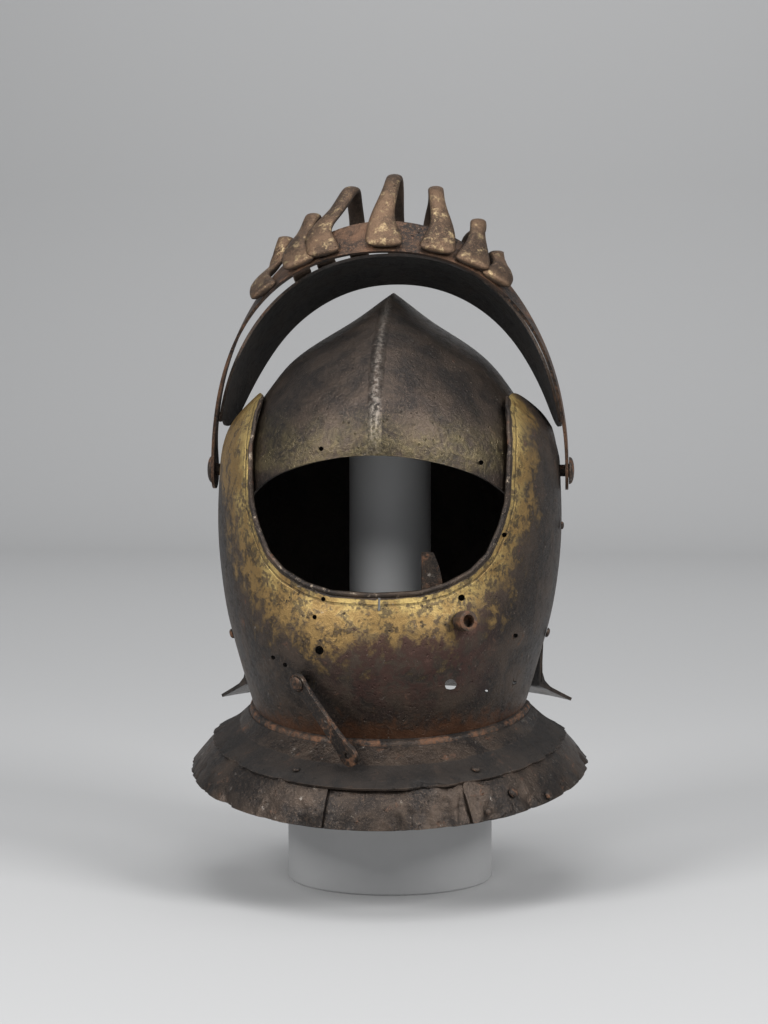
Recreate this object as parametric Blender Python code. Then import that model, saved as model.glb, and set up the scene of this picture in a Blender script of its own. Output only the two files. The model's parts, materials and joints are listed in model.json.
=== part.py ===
"""A tournament helmet with its barred visor raised, on a plain round display stand.

The front is -Y and left is -X, as seen from the front. The helmet's pieces are modelled about the pivot, the
axis along X that the visor and the bevor turn on, and an empty lifts them to its height above the floor.
"""

import math

import bmesh
import bpy
import numpy as np
from mathutils import Matrix, Vector

MM = 0.001

# Sheet and clearances
WALL = 2.0 * MM
PLATE = 1.5 * MM
GAP = 0.3 * MM  # between pieces that touch
SEAT = WALL / 10  # more than the gap, under round pieces on a curved sheet
EAR_GAP = 2.5 * MM  # running gap between the skull's side and the bevor's ear
ARM_GAP = 0.8 * MM  # running gap between the bevor's ear and the visor's arm
SWING_GAP = 6.5 * MM  # running gap between the skull's front and the visor's brow band

# Skull, from the pivot
PIVOT_HEIGHT = 270 * MM
SKULL_HALF_WIDTH = 107.5 * MM
SKULL_HALF_LENGTH = 136.5 * MM
SKULL_HEIGHT = 108 * MM
SKULL_DROP = 157 * MM
SKULL_MIDDLE = 1.5 * MM
APEX_BACK = 40 * MM
KEEL_HEIGHT = 9.7 * MM
KEEL_WIDTH = 46 * MM
KEEL_PEAK = 1.92  # radians up from straight ahead, where the keel is highest
KEEL_FRONT_FADE = 0.87  # radians
KEEL_REAR_FADE = 0.28  # radians
NAPE_FLARE = 27 * MM
NAPE_FLARE_HEIGHT = 11 * MM

# Bevor, from the pivot
EAR_RISE = 0.48 * SKULL_HEIGHT
RIM_DROP = 71.2 * MM
BEVOR_DROP = 163 * MM
NECK_RISE = 11 * MM
BEVOR_HALF_WIDTH = SKULL_HALF_WIDTH + EAR_GAP + WALL
BEVOR_REACH = SKULL_HALF_LENGTH - SKULL_MIDDLE + WALL
BREATH_RADIUS = 1.6 * MM
SLIT_ACROSS = 3 * MM
NECK_RING_RADIUS = 3.2 * MM

# Gorget: how far its plates stand out past the neck, and how deep they hang below it
GORGET_SIDE_FLARE = 40 * MM
GORGET_FRONT_FLARE = 38.5 * MM
GORGET_FRONT_DROP = 46 * MM
GORGET_SIDE_DROP = 35 * MM

# Visor, from the pivot
VISOR_HALF_WIDTH = BEVOR_HALF_WIDTH + ARM_GAP + 2 * (WALL + GAP)  # outside of the arms
ARM_HALF_WIDTH = 7.5 * MM
EYE_RADIUS = 13 * MM
ARCH_POWER = 2.15  # 2 is an ellipse, more is squarer
BAR_BAND_RADIUS = 157.5 * MM
BAR_BAND_HALF_WIDTH = 12.5 * MM
BAR_BAND_ANGLE = 75
BAR_BAND_TILT = 38
BROW_BAND_RADIUS = SKULL_HALF_LENGTH + SWING_GAP + WALL
BROW_ARM_END = 33 * MM
BAR_THICKNESS = 4.5 * MM
BAR_WIDTH = 9.5 * MM
BAR_FOOT_WIDTH = 13.5 * MM
BAR_RISE = 30.6 * MM

# Rivets, catch and stay arm
PIVOT_SHANK_RADIUS = 4 * MM
PIVOT_HEAD_RADIUS = 9.2 * MM
PIVOT_HEAD_HEIGHT = 3.6 * MM
RIVET_RADIUS = 3.4 * MM
RIVET_HEIGHT = 2.2 * MM
STUD_RADIUS = 6.5 * MM
STUD_BORE = 4 * MM
STUD_LENGTH = 9 * MM
LEVER_WIDTH = 15 * MM
LEVER_HEIGHT = 25 * MM
LEVER_LEAN = 3.8 * MM
STAY_WIDTH = 9.5 * MM
STAY_THICKNESS = 3 * MM
STAY_STANDOFF = 3.2 * MM

# Stand
BASE_RADIUS = 67.8 * MM
BASE_HEIGHT = 95 * MM
BASE_BEVEL = 1.2 * MM
POST_RADIUS = 27 * MM

# The skull below the pivot: (share of its drop, of its half-width, of its half-length)
SKULL_SIDES = [(0, 1, 1), (0.25, 0.995, 0.985), (0.51, 0.972, 0.923), (0.7, 0.963, 0.843)]
SKULL_SIDES += [(0.86, 0.963, 0.777), (1, 0.963, 0.75)]

# The skull's lower edge, seen from the side: (share of its half-length, of its drop)
SKULL_EDGE = [(-1, 0.095), (-0.98, 0.092), (-0.71, -0.03), (-0.55, -0.14), (-0.33, -0.285)]
SKULL_EDGE += [(-0.11, -0.4), (0.08, -0.48), (0.17, -0.56), (0.2, -0.8), (0.22, -1)]

# The bevor's sections: (share of the ear's rise above the pivot or of the drop below it, of its half-width,
# of its reach)
BEVOR_SECTIONS = [(-1, 0.781, 0.796), (-0.933, 0.805, 0.832), (-0.828, 0.852, 0.905), (-0.675, 0.914, 0.978)]
BEVOR_SECTIONS += [(-0.558, 0.96, 0.978), (-0.437, 0.987, 0.938), (-0.337, 1.004, 0.942), (-0.184, 1.013, 0.971)]
BEVOR_SECTIONS += [(0, 1, 0.985), (0.35, 0.987, 0.96), (0.58, 0.946, 0.885), (0.77, 0.88, 0.87)]
BEVOR_SECTIONS += [(0.92, 0.795, 0.83), (1, 0.757, 0.8)]
BEVOR_REAR_REACH = 1.24  # share of the reach

# The bevor's upper edge from the middle of the rim, up the ear and over it: (angle from the front, share of the rim's
# drop or of the ear's rise, angle where the same line meets the neck)
BEVOR_EDGE = [(0, -1, 0), (14, -0.983, 12), (23, -0.921, 20), (31.4, -0.815, 28), (37.7, -0.668, 35)]
BEVOR_EDGE += [(42, -0.449, 41), (45.4, -0.225, 47), (46.4, 0, 53), (47.4, 0.29, 58), (49.5, 0.58, 63)]
BEVOR_EDGE += [(56.5, 0.83, 68), (66, 0.96, 73), (77, 1, 78), (86, 0.92, 82), (92.2, 0.77, 85)]
BEVOR_EDGE += [(96.1, 0.58, 88), (98.8, 0.35, 91.8)]

# Breaths in the bevor: (share of its half-width, of its drop, of the breath's radius)
BREATHS = [(-0.587, -0.299, 1), (-0.285, -0.455, 1), (-0.332, -0.523, 1), (-0.304, -0.647, 1.9)]
BREATHS += [(-0.588, -0.695, 1), (-0.513, -0.718, 1), (0.7, -0.221, 1), (0.47, -0.452, 1.4), (0.76, -0.618, 1)]
BREATHS += [(0.41, -0.784, 2.4), (0.75, -0.815, 0.9), (0.6, -0.826, 0.6)]
FOREHEAD_HOLES = [(-0.305, 0.117, 1), (0.598, 0.06, 1)]

# The gorget's flare: (place down it, share of the side flare, of the front flare, of the drops)
GORGET_FLARE = [(0, 0, 0, 0), (0.5, 0.28, 0.38, 0.29), (1, 0.56, 0.74, 0.44), (1.5, 0.8, 0.92, 0.72), (2, 1, 1, 1)]

# The brow band's edges: (share of its radius from the pivot, angle of its front edge, of its rear edge)
BROW_BAND_EDGES = [(0.2, 74, 108), (0.24, 76, 128), (0.32, 78, 141), (0.46, 82, 139), (0.6, 87, 133.5)]
BROW_BAND_EDGES += [(0.77, 92, 126.5), (1, 98.8, 119.9)]

# The bars: share of the visor's half-width at the front foot, the tip and the rear foot, and share of the bar's rise
BARS = [(-0.67, -0.585, -0.5, 1.02), (-0.475, -0.42, -0.37, 0.78), (-0.34, -0.205, -0.19, 1.04)]
BARS += [(-0.012, 0.033, 0.02, 1), (0.29, 0.258, 0.2, 0.95), (0.475, 0.497, 0.4, 0.65), (0.605, 0.595, 0.53, 0.4)]


def smooth(table, place):
    """The values of a smooth curve through a table's rows, at a place given in its first column."""
    rows = np.array(table, float)
    places, values = rows[:, 0], rows[:, 1:]
    slopes = np.gradient(values, places, axis=0)
    place = min(max(place, places[0]), places[-1])
    i = min(int(np.searchsorted(places, place, side="right")), len(places) - 1)
    step = places[i] - places[i - 1]
    t = (place - places[i - 1]) / step
    ahead = 3 * t**2 - 2 * t**3
    bend = (t**3 - 2 * t**2 + t) * slopes[i - 1] + (t**3 - t**2) * slopes[i]
    return (values[i - 1] * (1 - ahead) + values[i] * ahead + step * bend).tolist()


def arch(half_width, radius, share):
    """A point of the rounded arch over the pivots: x, and the distance from their axis. Share 0 is at a pivot."""
    turn = share * math.pi / 2
    return half_width * math.cos(turn) ** (2 / ARCH_POWER), radius * math.sin(turn) ** (2 / ARCH_POWER)


def around(angle):
    """The directions away from the pivots' axis and round it, at an angle from straight ahead over the top."""
    turn = math.radians(angle)
    return Vector((0, -math.cos(turn), math.sin(turn))), Vector((0, math.sin(turn), math.cos(turn)))


def normal_at(surface, u, v):
    """The outward direction square to a surface, whose u runs to the right and whose v runs down its outer face."""
    step = 0.004
    along = surface(u + step, v) - surface(u - step, v)
    across = surface(u, v + step) - surface(u, v - step)
    return across.cross(along).normalized()


def material(name, colour, metallic, roughness):
    made = bpy.data.materials.new(name)
    made.use_nodes = True
    shader = made.node_tree.nodes["Principled BSDF"]
    shader.inputs["Base Color"].default_value = (*colour, 1)
    shader.inputs["Metallic"].default_value = metallic
    shader.inputs["Roughness"].default_value = roughness
    return made


def add_object(name, bm, look, parent=None, smooth_angle=40):
    """Turns a bmesh into an object with its own material, shaded smooth except at sharp edges."""
    mesh = bpy.data.meshes.new(name)
    bm.to_mesh(mesh)
    bm.free()
    mesh.shade_smooth()
    mesh.set_sharp_from_angle(angle=math.radians(smooth_angle))
    mesh.materials.append(material(name, *look))
    made = bpy.data.objects.new(name, mesh)
    bpy.context.scene.collection.objects.link(made)
    made.parent = parent
    return made


def mesh_from_grid(grid, loop=False):
    """A sheet of quads through columns of points, each from the top down, set from left to right as seen from outside.

    Points that meet are merged.
    """
    bm = bmesh.new()
    rows = [[bm.verts.new(point) for point in row] for row in grid]
    if loop:
        rows.append(rows[0])
    for row, after in zip(rows, rows[1:]):
        for i in range(len(row) - 1):
            bm.faces.new((row[i], row[i + 1], after[i + 1], after[i]))
    bmesh.ops.remove_doubles(bm, verts=bm.verts, dist=1e-6)
    return bm


def solidify(sheet, thickness):
    """Gives a sheet its thickness, inward from its outer face."""
    wall = sheet.modifiers.new("Wall", "SOLIDIFY")
    wall.thickness = thickness
    wall.offset = -1
    wall.use_even_offset = True


def plate(name, surface, us, vs, depth, thickness, look, parent):
    """A metal plate on a surface of two parameters, a depth below it."""
    places = [[(float(u), float(v)) for v in vs] for u in us]
    grid = [[surface(*place) - depth * normal_at(surface, *place) for place in column] for column in places]
    made = add_object(name, mesh_from_grid(grid), look, parent)
    solidify(made, thickness)
    return made


def cut(target, bm, name):
    """Takes the solids of a bmesh out of a piece, with a cutter that stays editable."""
    mesh = bpy.data.meshes.new(name)
    bm.to_mesh(mesh)
    bm.free()
    cutter = bpy.data.objects.new(name, mesh)
    bpy.context.scene.collection.objects.link(cutter)
    cutter.parent = target.parent
    cutter.hide_render = True
    cutter.display_type = "WIRE"
    boolean = target.modifiers.new(name, "BOOLEAN")
    boolean.operation = "DIFFERENCE"
    boolean.solver = "EXACT"
    boolean.object = cutter


def add_drill(bm, start, end, radius, segments=10):
    """Adds a cylinder between two points."""
    start, end = Vector(start), Vector(end)
    turn = (end - start).to_track_quat("Z", "Y").to_matrix().to_4x4()
    place = Matrix.Translation((start + end) / 2) @ turn
    length = (end - start).length
    bmesh.ops.create_cone(
        bm, cap_ends=True, segments=segments, radius1=radius, radius2=radius, depth=length, matrix=place
    )


def turned(profile, segments=20):
    """A solid turned about Z from a profile of (radius, height) from its bottom to its top."""
    bm = bmesh.new()
    rings = []
    for radius, height in profile:
        if radius == 0:
            rings.append([bm.verts.new((0, 0, height))] * segments)
            continue
        turns = [2 * math.pi * i / segments for i in range(segments)]
        rings.append([bm.verts.new((radius * math.cos(t), radius * math.sin(t), height)) for t in turns])
    for ring, above in zip(rings, rings[1:]):
        for i in range(segments):
            j = (i + 1) % segments
            corners = dict.fromkeys((ring[i], ring[j], above[j], above[i]))
            if len(corners) > 2:
                bm.faces.new(corners)
    for ring, way in ((rings[0], -1), (rings[-1], 1)):
        if ring[0] is not ring[1]:
            bm.faces.new(ring[::way])
    bmesh.ops.recalc_face_normals(bm, faces=bm.faces)
    return bm


def dome(radius, height, bottom=0.0, steps=3):
    """A profile of a round rivet head that stands on a height."""
    turns = [math.pi / 2 * i / steps for i in range(steps + 1)]
    rounded = [(radius * math.cos(t), bottom + height * (0.3 + 0.7 * math.sin(t))) for t in turns[:-1]]
    return [(radius, bottom)] + rounded + [(0, bottom + height)]


def place_on(piece, point, direction):
    """Stands a piece that was made along Z on a point, facing a direction."""
    piece.rotation_mode = "QUATERNION"
    piece.location = point
    piece.rotation_quaternion = direction.to_track_quat("Z", "Y")


def rivet(name, surface, u, v, look, parent, size=1.0):
    """A domed rivet head on a surface."""
    normal = normal_at(surface, u, v)
    head = turned(dome(RIVET_RADIUS * size, RIVET_HEIGHT * size), 10)
    made = add_object(name, head, look, parent)
    place_on(made, surface(u, v) + (GAP + SEAT) * normal, normal)
    return made


def skull_section(z):
    """The half-width, half-length and middle, front to back, of the skull at a height from the pivot."""
    if z >= 0:
        share = min(z / SKULL_HEIGHT, 1)
        shoulder = 0.07 * math.exp(-(((share - 0.68) / 0.1) ** 2))
        shoulder -= 0.1 * math.exp(-(((share - 0.92) / 0.07) ** 2))
        half_width = SKULL_HALF_WIDTH * (1 - share**1.45) ** (1 / 1.45) * (1 + shoulder)
        half_length = SKULL_HALF_LENGTH * (1 - share**2.3) ** (1 / 2.3)
        return half_width, half_length, SKULL_MIDDLE + (APEX_BACK - SKULL_MIDDLE) * share**3.5
    width_share, length_share = smooth(SKULL_SIDES, -z / SKULL_DROP)
    return SKULL_HALF_WIDTH * width_share, SKULL_HALF_LENGTH * length_share, SKULL_MIDDLE


def skull_point(angle, z):
    """The skull's outer face at an angle from the front and a height, with its keel and its nape flange."""
    half_width, half_length, middle = skull_section(z)
    side, ahead = math.sin(math.radians(angle)), math.cos(math.radians(angle))
    flare = NAPE_FLARE * max(0, (NAPE_FLARE_HEIGHT - SKULL_DROP - z) / NAPE_FLARE_HEIGHT) ** 1.3
    point = Vector(((half_width + flare) * side, middle - (half_length + flare) * ahead, z))
    lift = math.atan2(point.z, -point.y)
    fade = KEEL_FRONT_FADE if lift < KEEL_PEAK else KEEL_REAR_FADE
    keel = KEEL_HEIGHT * (0.2 + 0.8 * math.exp(-(((lift - KEEL_PEAK) / fade) ** 2))) * (lift > 0)
    keel *= max(0, 1 - abs(point.x) / KEEL_WIDTH) ** 3 * min(1, max(0, 0.3 + point.z / SKULL_HEIGHT * 3))
    reach = math.hypot(point.y, point.z)
    point.y *= 1 + keel / reach
    point.z *= 1 + keel / reach
    return point


def skull_edge_height(angle):
    """The height of the skull's lower edge at an angle from the front."""
    places, heights = zip(*SKULL_EDGE)
    low, high = -SKULL_DROP, SKULL_HEIGHT / 2
    for _ in range(30):
        z = (low + high) / 2
        half_width, half_length, middle = skull_section(z)
        y = middle - half_length * math.cos(math.radians(angle))
        edge = SKULL_DROP * float(np.interp(y / SKULL_HALF_LENGTH, places, heights))
        low, high = (z, high) if edge > z else (low, z)
    return high


def make_skull(look, pivot):
    """The skull: columns from the apex down to the edge, closed round the head."""
    shares = [0, 0.003, 0.012, 0.03, 0.06, 0.1, 0.16, 0.23, 0.31, 0.41, 0.52, 0.64, 0.76, 0.87, 0.925, 0.96, 1]
    half = [0, 4, 9.5, 16, 23, 31, 39, 47.5, 56, 65, 74, 83, 91.5, 97.5, 100.4, 102.8, 105.2, 113, 122, 131, 140.5]
    half += [150, 160, 170.5]
    grid = []
    for angle in half + [180] + [360 - turn for turn in reversed(half[1:])]:
        low = skull_edge_height(angle)
        grid.append([skull_point(angle, SKULL_HEIGHT + (low - SKULL_HEIGHT) * share) for share in shares])
    skull = add_object("skull", mesh_from_grid(grid, loop=True), look, pivot, 60)
    solidify(skull, WALL)
    holes = bmesh.new()
    side = SKULL_HALF_WIDTH + 4 * WALL
    add_drill(holes, (-side, 0, 0), (side, 0, 0), PIVOT_SHANK_RADIUS + GAP, 16)
    for across, up, size in FOREHEAD_HOLES:
        x, z = across * SKULL_HALF_WIDTH, up * SKULL_DROP
        add_drill(holes, (x, -SKULL_HALF_LENGTH * 1.2, z), (x, -SKULL_HALF_LENGTH / 2, z), BREATH_RADIUS * size, 8)
    cut(skull, holes, "skull_holes")
    return skull


def bevor_point(angle, z):
    """The bevor's outer face at an angle from the front and a height."""
    share = z / EAR_RISE if z > 0 else z / BEVOR_DROP
    width_share, reach_share = smooth(BEVOR_SECTIONS, share)
    side, ahead = math.sin(math.radians(angle)), math.cos(math.radians(angle))
    reach = BEVOR_REACH * reach_share * (1 if ahead > 0 else BEVOR_REAR_REACH)
    return Vector((BEVOR_HALF_WIDTH * width_share * side, -reach * ahead, z))


def neck_height(angle):
    """The height of the bevor's lower edge: lower in front than at the sides."""
    return -BEVOR_DROP + NECK_RISE * (1 - max(0, math.cos(math.radians(angle))))


def bevor_surface(u, v):
    """The bevor from its upper edge at v = 0 to the neck at v = 1, and from the left ear at u = -1 to the right."""
    place = abs(u) * (len(BEVOR_EDGE) - 1)
    table = [(i, *row) for i, row in enumerate(BEVOR_EDGE)]
    angle, share, neck_angle = smooth(table, place)
    top = share * (EAR_RISE if share > 0 else RIM_DROP)
    bulge = 3 * abs(u) ** 4 * math.sin(math.pi * v**0.8)
    at = angle + (neck_angle - angle) * v + bulge
    return bevor_point(math.copysign(at, u), top + (neck_height(neck_angle) - top) * v)


def make_bevor(look, pivot):
    """The bevor with its breaths, its pivot holes and the slit in the middle of its rim."""
    us = np.linspace(-1, 1, 39)
    vs = [0, 0.08, 0.17, 0.27, 0.38, 0.49, 0.6, 0.7, 0.8, 0.9, 1]
    bevor = add_object("bevor", mesh_from_grid([[bevor_surface(u, v) for v in vs] for u in us]), look, pivot)
    solidify(bevor, WALL)
    holes = bmesh.new()
    side = BEVOR_HALF_WIDTH + 4 * WALL
    add_drill(holes, (-side, 0, 0), (side, 0, 0), PIVOT_SHANK_RADIUS + GAP, 16)
    for across, up, size in BREATHS:
        x, z = across * BEVOR_HALF_WIDTH, up * BEVOR_DROP
        add_drill(holes, (x, -BEVOR_REACH * 1.2, z), (x, -BEVOR_REACH * 0.3, z), BREATH_RADIUS * size, 8)
    slit = Matrix.Translation((SLIT_ACROSS, -BEVOR_REACH, -RIM_DROP)) @ Matrix.Diagonal(
        (1.4 * MM, BEVOR_REACH / 3, 0.26 * RIM_DROP, 1)
    )
    bmesh.ops.create_cube(holes, size=1, matrix=slit)
    cut(bevor, holes, "bevor_holes")


def neck_ring_point(angle):
    """The middle of the rolled ring that sits under the bevor's lower edge."""
    z = neck_height(angle)
    edge = bevor_point(angle, max(z, -BEVOR_DROP))
    inward = Vector((edge.x, edge.y, 0)).normalized() * WALL / 2
    return edge - inward - Vector((0, 0, NECK_RING_RADIUS + GAP + SEAT))


def make_neck_ring(look, pivot):
    """A round tube along the bevor's lower edge."""
    sides = 8
    angles = np.linspace(-91, 91, 27)
    bm = bmesh.new()
    rings = []
    for angle in angles:
        middle = neck_ring_point(angle)
        along = (neck_ring_point(angle + 0.5) - neck_ring_point(angle - 0.5)).normalized()
        out = along.cross(Vector((0, 0, 1))).normalized()
        up = out.cross(along)
        turns = [2 * math.pi * i / sides for i in range(sides)]
        spokes = [math.cos(t) * out + math.sin(t) * up for t in turns]
        rings.append([bm.verts.new(middle + NECK_RING_RADIUS * spoke) for spoke in spokes])
    bridge_rings(bm, rings)
    add_object("neck_ring", bm, look, pivot, 60)


def bridge_rings(bm, rings):
    """Skins a row of rings and closes both ends."""
    for ring, after in zip(rings, rings[1:]):
        for i in range(len(ring)):
            j = (i + 1) % len(ring)
            bm.faces.new((ring[i], ring[j], after[j], after[i]))
    bm.faces.new(rings[0][::-1])
    bm.faces.new(rings[-1])
    bmesh.ops.recalc_face_normals(bm, faces=bm.faces)


def gorget_surface(u, v):
    """The gorget's flare: u is the angle from the front, v goes from the neck at 0 to the outer edge at 2."""
    angle = math.radians(u)
    neck = neck_ring_point(0)
    side_neck = neck_ring_point(90)
    side_share, front_share, drop_share = smooth(GORGET_FLARE, v)
    stand_off = NECK_RING_RADIUS + PLATE / 2
    half_width = side_neck.x + stand_off + GORGET_SIDE_FLARE * side_share
    reach = -neck.y + stand_off + GORGET_FRONT_FLARE * front_share
    ahead = max(0, math.cos(angle))
    top = side_neck.z + (neck.z - side_neck.z) * ahead
    drop = (GORGET_SIDE_DROP + (GORGET_FRONT_DROP - GORGET_SIDE_DROP) * ahead) * drop_share
    return Vector((half_width * math.sin(angle), -reach * math.cos(angle), top - drop))


def make_gorget(upper_look, lower_look, pivot):
    """The upper plate, and three lower plates under it, the side ones lapped over the middle one."""
    lap = PLATE + 2 * GAP
    column = 7
    upper_downs = np.linspace(0, 1.08, 5)
    plate("gorget_upper_plate", gorget_surface, range(-98, 99, column), upper_downs, 0, PLATE, upper_look, pivot)
    downs = np.linspace(0.98, 2, 5)
    plate("gorget_lower_left", gorget_surface, range(-98, -13, column), downs, lap, PLATE, lower_look, pivot)
    plate("gorget_lower_right", gorget_surface, range(28, 99, column), downs, lap, PLATE, lower_look, pivot)
    plate("gorget_lower_centre", gorget_surface, range(-28, 43, column), downs, 2 * lap, PLATE, lower_look, pivot)


def bar_band_surface(u, v):
    """The visor's front band from its upper edge at v = 0, with an arm and a round eye past each pivot at u = -1 and 1."""
    if abs(u) > 1:
        x, reach = VISOR_HALF_WIDTH, -10 * (abs(u) - 1) * EYE_RADIUS
        half_width = math.sqrt(max(0, EYE_RADIUS**2 - reach**2))
    else:
        x, reach = arch(VISOR_HALF_WIDTH, BAR_BAND_RADIUS, 1 - abs(u))
        eye = (EYE_RADIUS - ARM_HALF_WIDTH) * max(0, 1 - reach / (2.4 * EYE_RADIUS)) ** 2
        half_width = ARM_HALF_WIDTH + eye
    flange = max(0, 1 - (x / (0.84 * VISOR_HALF_WIDTH)) ** 2)
    half_width += (BAR_BAND_HALF_WIDTH - ARM_HALF_WIDTH) * flange
    out, back = around(BAR_BAND_ANGLE)
    tilt = math.radians(BAR_BAND_TILT) * flange
    across = math.cos(tilt) * back + math.sin(tilt) * out
    return Vector((math.copysign(x, u), 0, 0)) + reach * out + (1 - 2 * v) * half_width * across


def brow_band_surface(u, v):
    """The visor's rear band from its rear edge at v = 0, with sides that end under the arms of the front band."""
    x, reach = arch(VISOR_HALF_WIDTH - WALL - GAP, BROW_BAND_RADIUS, 1 - abs(u))
    front, rear = smooth(BROW_BAND_EDGES, reach / BROW_BAND_RADIUS)
    return Vector((math.copysign(x, u), 0, 0)) + reach * around(rear + (front - rear) * v)[0]


def arch_place(share, half_width_share=1.0):
    """The place along a band, from -1 to 1, where its x is a share of the visor's half-width."""
    turn = math.acos(min(1, abs(share) / half_width_share) ** (ARCH_POWER / 2))
    return math.copysign(1 - turn * 2 / math.pi, share)


def make_visor_bands(front_look, brow_look, pivot):
    """The two bands that carry the bars. The front one has the eyes for the pivots."""
    half = list(np.linspace(0, 0.9, 13)) + [0.935, 0.965, 1, 1.03, 1.06, 1.082, 1.096]
    us = [-u for u in reversed(half[1:])] + half
    bar_band = plate("visor_bar_band", bar_band_surface, us, np.linspace(0, 1, 4), 0, WALL, front_look, pivot)
    holes = bmesh.new()
    side = VISOR_HALF_WIDTH + 4 * WALL
    add_drill(holes, (-side, 0, 0), (side, 0, 0), PIVOT_SHANK_RADIUS + GAP, 16)
    cut(bar_band, holes, "visor_eye_holes")
    end = 1 - math.asin((BROW_ARM_END / BROW_BAND_RADIUS) ** (ARCH_POWER / 2)) * 2 / math.pi
    us = np.linspace(-end, end, 31)
    plate("visor_brow_band", brow_band_surface, us, np.linspace(0, 1, 6), 0, WALL, brow_look, pivot)


def make_bar(name, foot, tip, rear, rise, look, pivot):
    """A hairpin bar: up from a flat foot on the front band, over its tip, and down to a foot on the brow band."""
    lift = BAR_THICKNESS / 2 + GAP
    u, u_rear = arch_place(foot), arch_place(rear, 1 - (WALL + GAP) / VISOR_HALF_WIDTH)
    edge = bar_band_surface(u, 0)
    top = edge + Vector((0, 0.88 * BAR_RISE * rise, BAR_RISE * rise - BAR_THICKNESS / 3))
    top.x = tip * VISOR_HALF_WIDTH
    bend = Vector((0, 1.5 * BAR_THICKNESS, -1.2 * BAR_THICKNESS))
    lifts = ((0.95, lift), (0.5, lift), (0.05, lift + 2 * GAP))
    feet = [bar_band_surface(u, v) + out * normal_at(bar_band_surface, u, v) for v, out in lifts]
    ends = [brow_band_surface(u_rear, v) + lift * normal_at(brow_band_surface, u_rear, v) for v in (0.93, 0.8, 0.62)]
    fall = top.lerp(ends[0], 0.62) + Vector((0, BAR_THICKNESS * 0.6, BAR_THICKNESS * 1.2))
    climb = feet[2] + 0.62 * rise * BAR_RISE * (feet[2] - feet[0]).normalized()
    climb.x = (feet[2].x + top.x) / 2
    points = feet + [climb, top, top + bend, fall] + ends
    along = (bar_band_surface(u + 0.01, 0.5) - bar_band_surface(u - 0.01, 0.5)).normalized()
    rear_along = (brow_band_surface(u_rear + 0.01, 0.8) - brow_band_surface(u_rear - 0.01, 0.8)).normalized()
    sideways = [along] * 4 + [Vector((1, 0, 0))] * 2 + [rear_along.lerp(Vector((1, 0, 0)), 0.5)] + [rear_along] * 3
    widths = [BAR_FOOT_WIDTH, 0.94 * BAR_FOOT_WIDTH, 0.8 * BAR_FOOT_WIDTH] + [BAR_WIDTH] * 4 + [1.3 * BAR_WIDTH] * 3
    runs = [0] + [(after - point).length for point, after in zip(points, points[1:])]
    lengths = np.cumsum(runs).tolist()
    table = [(run, *point, *way, width) for run, point, way, width in zip(lengths, points, sideways, widths)]
    places = np.linspace(0, lengths[-1], 21).tolist()
    bm = bmesh.new()
    rings = []
    for place in places:
        row = smooth(table, place)
        middle = Vector(row[:3])
        forward = Vector(smooth(table, place + MM)[:3]) - Vector(smooth(table, place - MM)[:3])
        forward.normalize()
        side = Vector(row[3:6])
        side = (side - side.dot(forward) * forward).normalized() * row[6] / 2
        out = forward.cross(side).normalized() * BAR_THICKNESS / 2
        rings.append([bm.verts.new(middle + a * side + b * out) for a, b in ((1, 1), (-1, 1), (-1, -1), (1, -1))])
    bridge_rings(bm, rings)
    add_object(name, bm, look, pivot)


def make_pivot_rivets(look, pivot):
    """A rivet at each pivot, through the skull, the bevor's ear and the visor's eye, with a burr inside the skull."""
    burr = 1.4 * PIVOT_SHANK_RADIUS
    seat = skull_section(burr)[0] - 2.2 * WALL - GAP
    head = VISOR_HALF_WIDTH + GAP
    profile = [(0, seat - WALL), (burr, seat - WALL), (burr, seat), (PIVOT_SHANK_RADIUS, seat)]
    profile += [(PIVOT_SHANK_RADIUS, head)] + dome(PIVOT_HEAD_RADIUS, PIVOT_HEAD_HEIGHT, head)
    for name, way in (("pivot_rivet_left", -1), ("pivot_rivet_right", 1)):
        made = add_object(name, turned(profile, 16), look, pivot)
        place_on(made, (0, 0, 0), Vector((way, 0, 0)))


def bevor_spot(angle, drop):
    """The bevor's outer face, by the angle from the front and the drop below the pivot."""
    return bevor_point(angle, -drop)


def make_catch(look, pivot):
    """The broken catch stud on the bevor's front, and the leaf of its lever behind the rim."""
    angle, drop = 29, 0.54 * BEVOR_DROP
    normal = normal_at(bevor_spot, angle, drop)
    floor = STUD_LENGTH / 4
    profile = [(0, 0), (STUD_RADIUS, 0), (STUD_RADIUS, STUD_LENGTH), (STUD_BORE, STUD_LENGTH), (STUD_BORE, floor)]
    profile.append((0, floor))
    stud = add_object("catch_stud", turned(profile, 16), look, pivot)
    place_on(stud, bevor_spot(angle, drop) + 2 * GAP * normal, normal)

    def leaf(u, v):
        half_angle = math.degrees(LEVER_WIDTH / 2 / BEVOR_REACH)
        swing = half_angle * (u if u < 0 else u * (0.2 + 3.4 * v - 2.6 * v**2))
        lean = Vector((0, -LEVER_LEAN * max(0, 1 - v / 0.42), 0))
        return bevor_spot(18.5 + swing, RIM_DROP - LEVER_HEIGHT + v * (LEVER_HEIGHT + 0.2 * RIM_DROP)) + lean

    plate("catch_lever", leaf, np.linspace(-1, 1, 4), np.linspace(0, 1, 7), WALL + 2 * GAP, WALL, look, pivot)


def stay_frame():
    """Where the stay arm turns, the rivet's direction there, and the way along the arm with its length."""
    angle, drop = -27.5, 0.77 * BEVOR_DROP
    normal = normal_at(bevor_spot, angle, drop)
    start = bevor_spot(angle, drop) + STAY_STANDOFF * normal
    end = gorget_surface(-8, 0.36) + 3.2 * STAY_THICKNESS * normal_at(gorget_surface, -8, 0.36)
    along = end - start
    axis = (normal - normal.dot(along.normalized()) * along.normalized()).normalized()
    return start, axis, along.normalized(), along.length


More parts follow.
